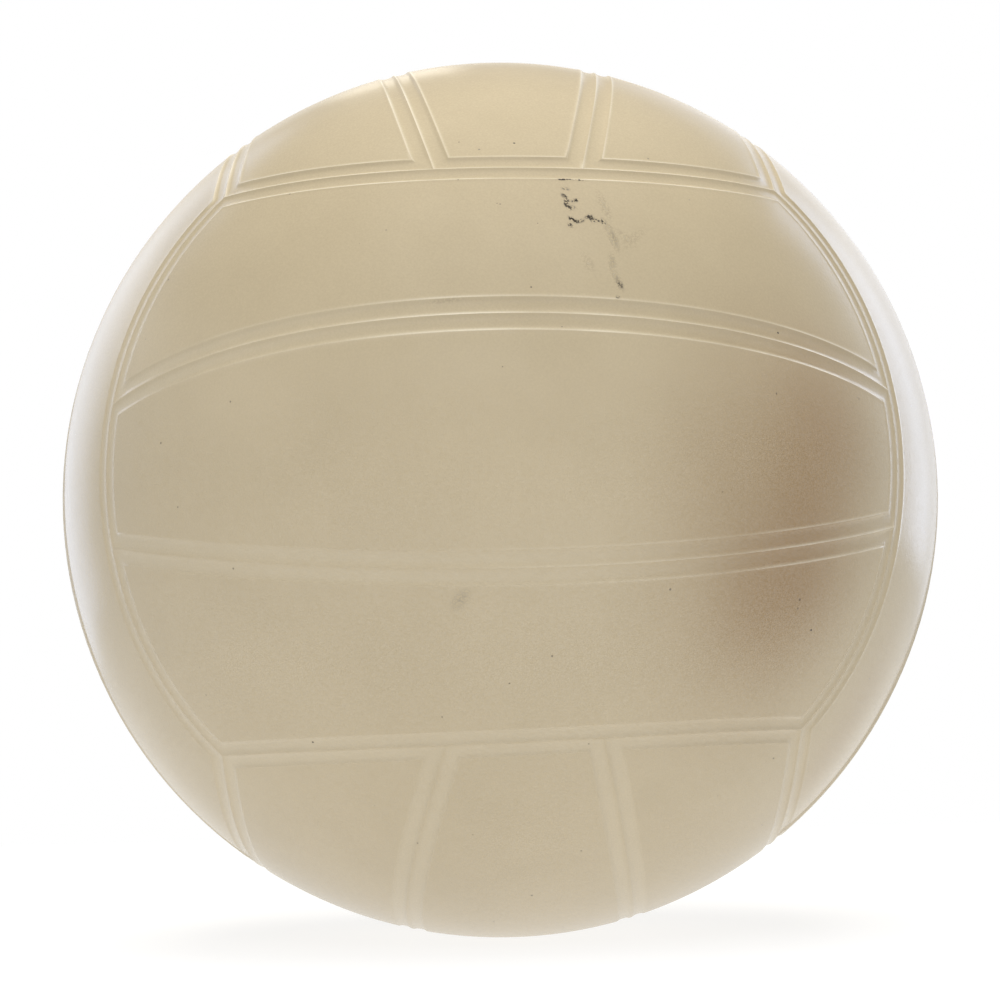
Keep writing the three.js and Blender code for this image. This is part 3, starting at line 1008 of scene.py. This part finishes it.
def seen_level(tree, light, white):
    """One level for the light on the object, another for what the camera and reflections see."""
    rays = add(tree, "ShaderNodeLightPath")
    seen = rays.outputs["Is Camera Ray"]
    for name in ("Is Glossy Ray", "Is Transmission Ray"):
        seen = add(tree, "ShaderNodeMath", {0: seen, 1: rays.outputs[name]}, operation="MAXIMUM").outputs[0]
    return add(tree, "ShaderNodeMapRange", {"Value": seen, "To Min": light, "To Max": white}).outputs[0]


# The sheet under the ball glows, and reflects a little of the lamps, so that it keeps the ball's shadow.
TABLE_LIGHT, TABLE_WHITE = 0.98, 0.82
paper, tree = new_finish("white_table_sheet")
level = seen_level(tree, TABLE_LIGHT, TABLE_WHITE)
glow = add(tree, "ShaderNodeEmission", {"Color": (1, 1, 1, 1), "Strength": level})
sheet = add(tree, "ShaderNodeBsdfDiffuse", {"Color": linear("#898989")})
lit_sheet = add(tree, "ShaderNodeAddShader", {0: sheet.outputs[0], 1: glow.outputs[0]})
add(tree, "ShaderNodeOutputMaterial", {"Surface": lit_sheet.outputs[0]})
floor.data.materials.append(paper)

# %% Surroundings
ROOM_LIGHT = 0.2
world = bpy.data.worlds.new("white_room")
bpy.context.scene.world = world
world.use_nodes = True
tree = world.node_tree
tree.nodes.clear()
# Above the white panels, which end about 25 degrees up, the room is grey.
direction = add(tree, "ShaderNodeSeparateXYZ", {0: add(tree, "ShaderNodeTexCoord").outputs["Generated"]})
wall = add(
    tree,
    "ShaderNodeMapRange",
    {"Value": direction.outputs["Z"], "From Min": 0.4, "From Max": 0.6, "To Min": 1, "To Max": 0.35},
    interpolation_type="SMOOTHSTEP",
).outputs[0]
level = seen_level(tree, ROOM_LIGHT, wall)
room = add(tree, "ShaderNodeBackground", {"Color": (1, 1, 1, 1), "Strength": level})
add(tree, "ShaderNodeOutputWorld", {"Surface": room.outputs[0]})
print("room light", ROOM_LIGHT, "table light", TABLE_LIGHT)


# %% Lamps
def soft_panel(name, azimuth, elevation, distance, size, brightness, colour):
    """A flat lamp turned to the ball, placed by degrees from the front to the right and up from level.

    Its brightness is 1 for white, whatever its size.
    """
    side, up = radians(azimuth), radians(elevation)
    aim = Vector((sin(side) * cos(up), -cos(side) * cos(up), sin(up)))
    bpy.ops.object.select_all(action="DESELECT")
    bpy.ops.object.light_add(type="AREA", location=CENTRE + distance * aim)
    panel = bpy.context.object
    panel.name = name
    panel.rotation_euler = (-aim).to_track_quat("-Z", "Y").to_euler()
    panel.data.shape = "RECTANGLE"
    panel.data.size, panel.data.size_y = size
    panel.data.energy = brightness * pi * size[0] * size[1]
    panel.data.color = linear(colour)[:3]
    panel.visible_camera = False
    print(f"{name}: {panel.data.energy:.2f} W")
    return panel


# The softboxes light the ball without a mirror image, and the panels behind it show only as one.
WARM, COOL = "#fff8e8", "#d4e2ff"
for name, azimuth, elevation, distance, size, brightness, colour in (
    ("front_softbox", -8, 32, 1.3, (0.6, 0.5), 4.4, "#ffffff"),
    ("top_front_softbox", 0, 62, 1.0, (0.9, 0.6), 3.5, "#ffffff"),
    ("overhead_softbox", 180, 80, 1.0, (1.0, 0.8), 4.0, WARM),
):
    panel = soft_panel(name, azimuth, elevation, distance, size, brightness, colour)
    panel.visible_glossy = False
soft_panel("hair_light", 188, 40, 1.0, (0.16, 0.16), 1.3, WARM)
for name, azimuth, elevation, distance, size, brightness, colour in (
    ("left_back_panel", 180 + 42, 20, 0.95, (0.45, 0.95), 0.9, COOL),
    ("right_side_panel", 180 - 53, 26, 0.95, (0.36, 0.6), 1.9, COOL),
    ("right_low_panel", 180 - 53, 3, 0.95, (0.36, 0.18), 1.9, COOL),
    ("right_back_panel", 180 - 28, 22, 0.95, (0.4, 0.85), 0.4, COOL),
):
    panel = soft_panel(name, azimuth, elevation, distance, size, brightness, colour)
    panel.visible_diffuse = False
bpy.context.scene.view_settings.view_transform = "Standard"
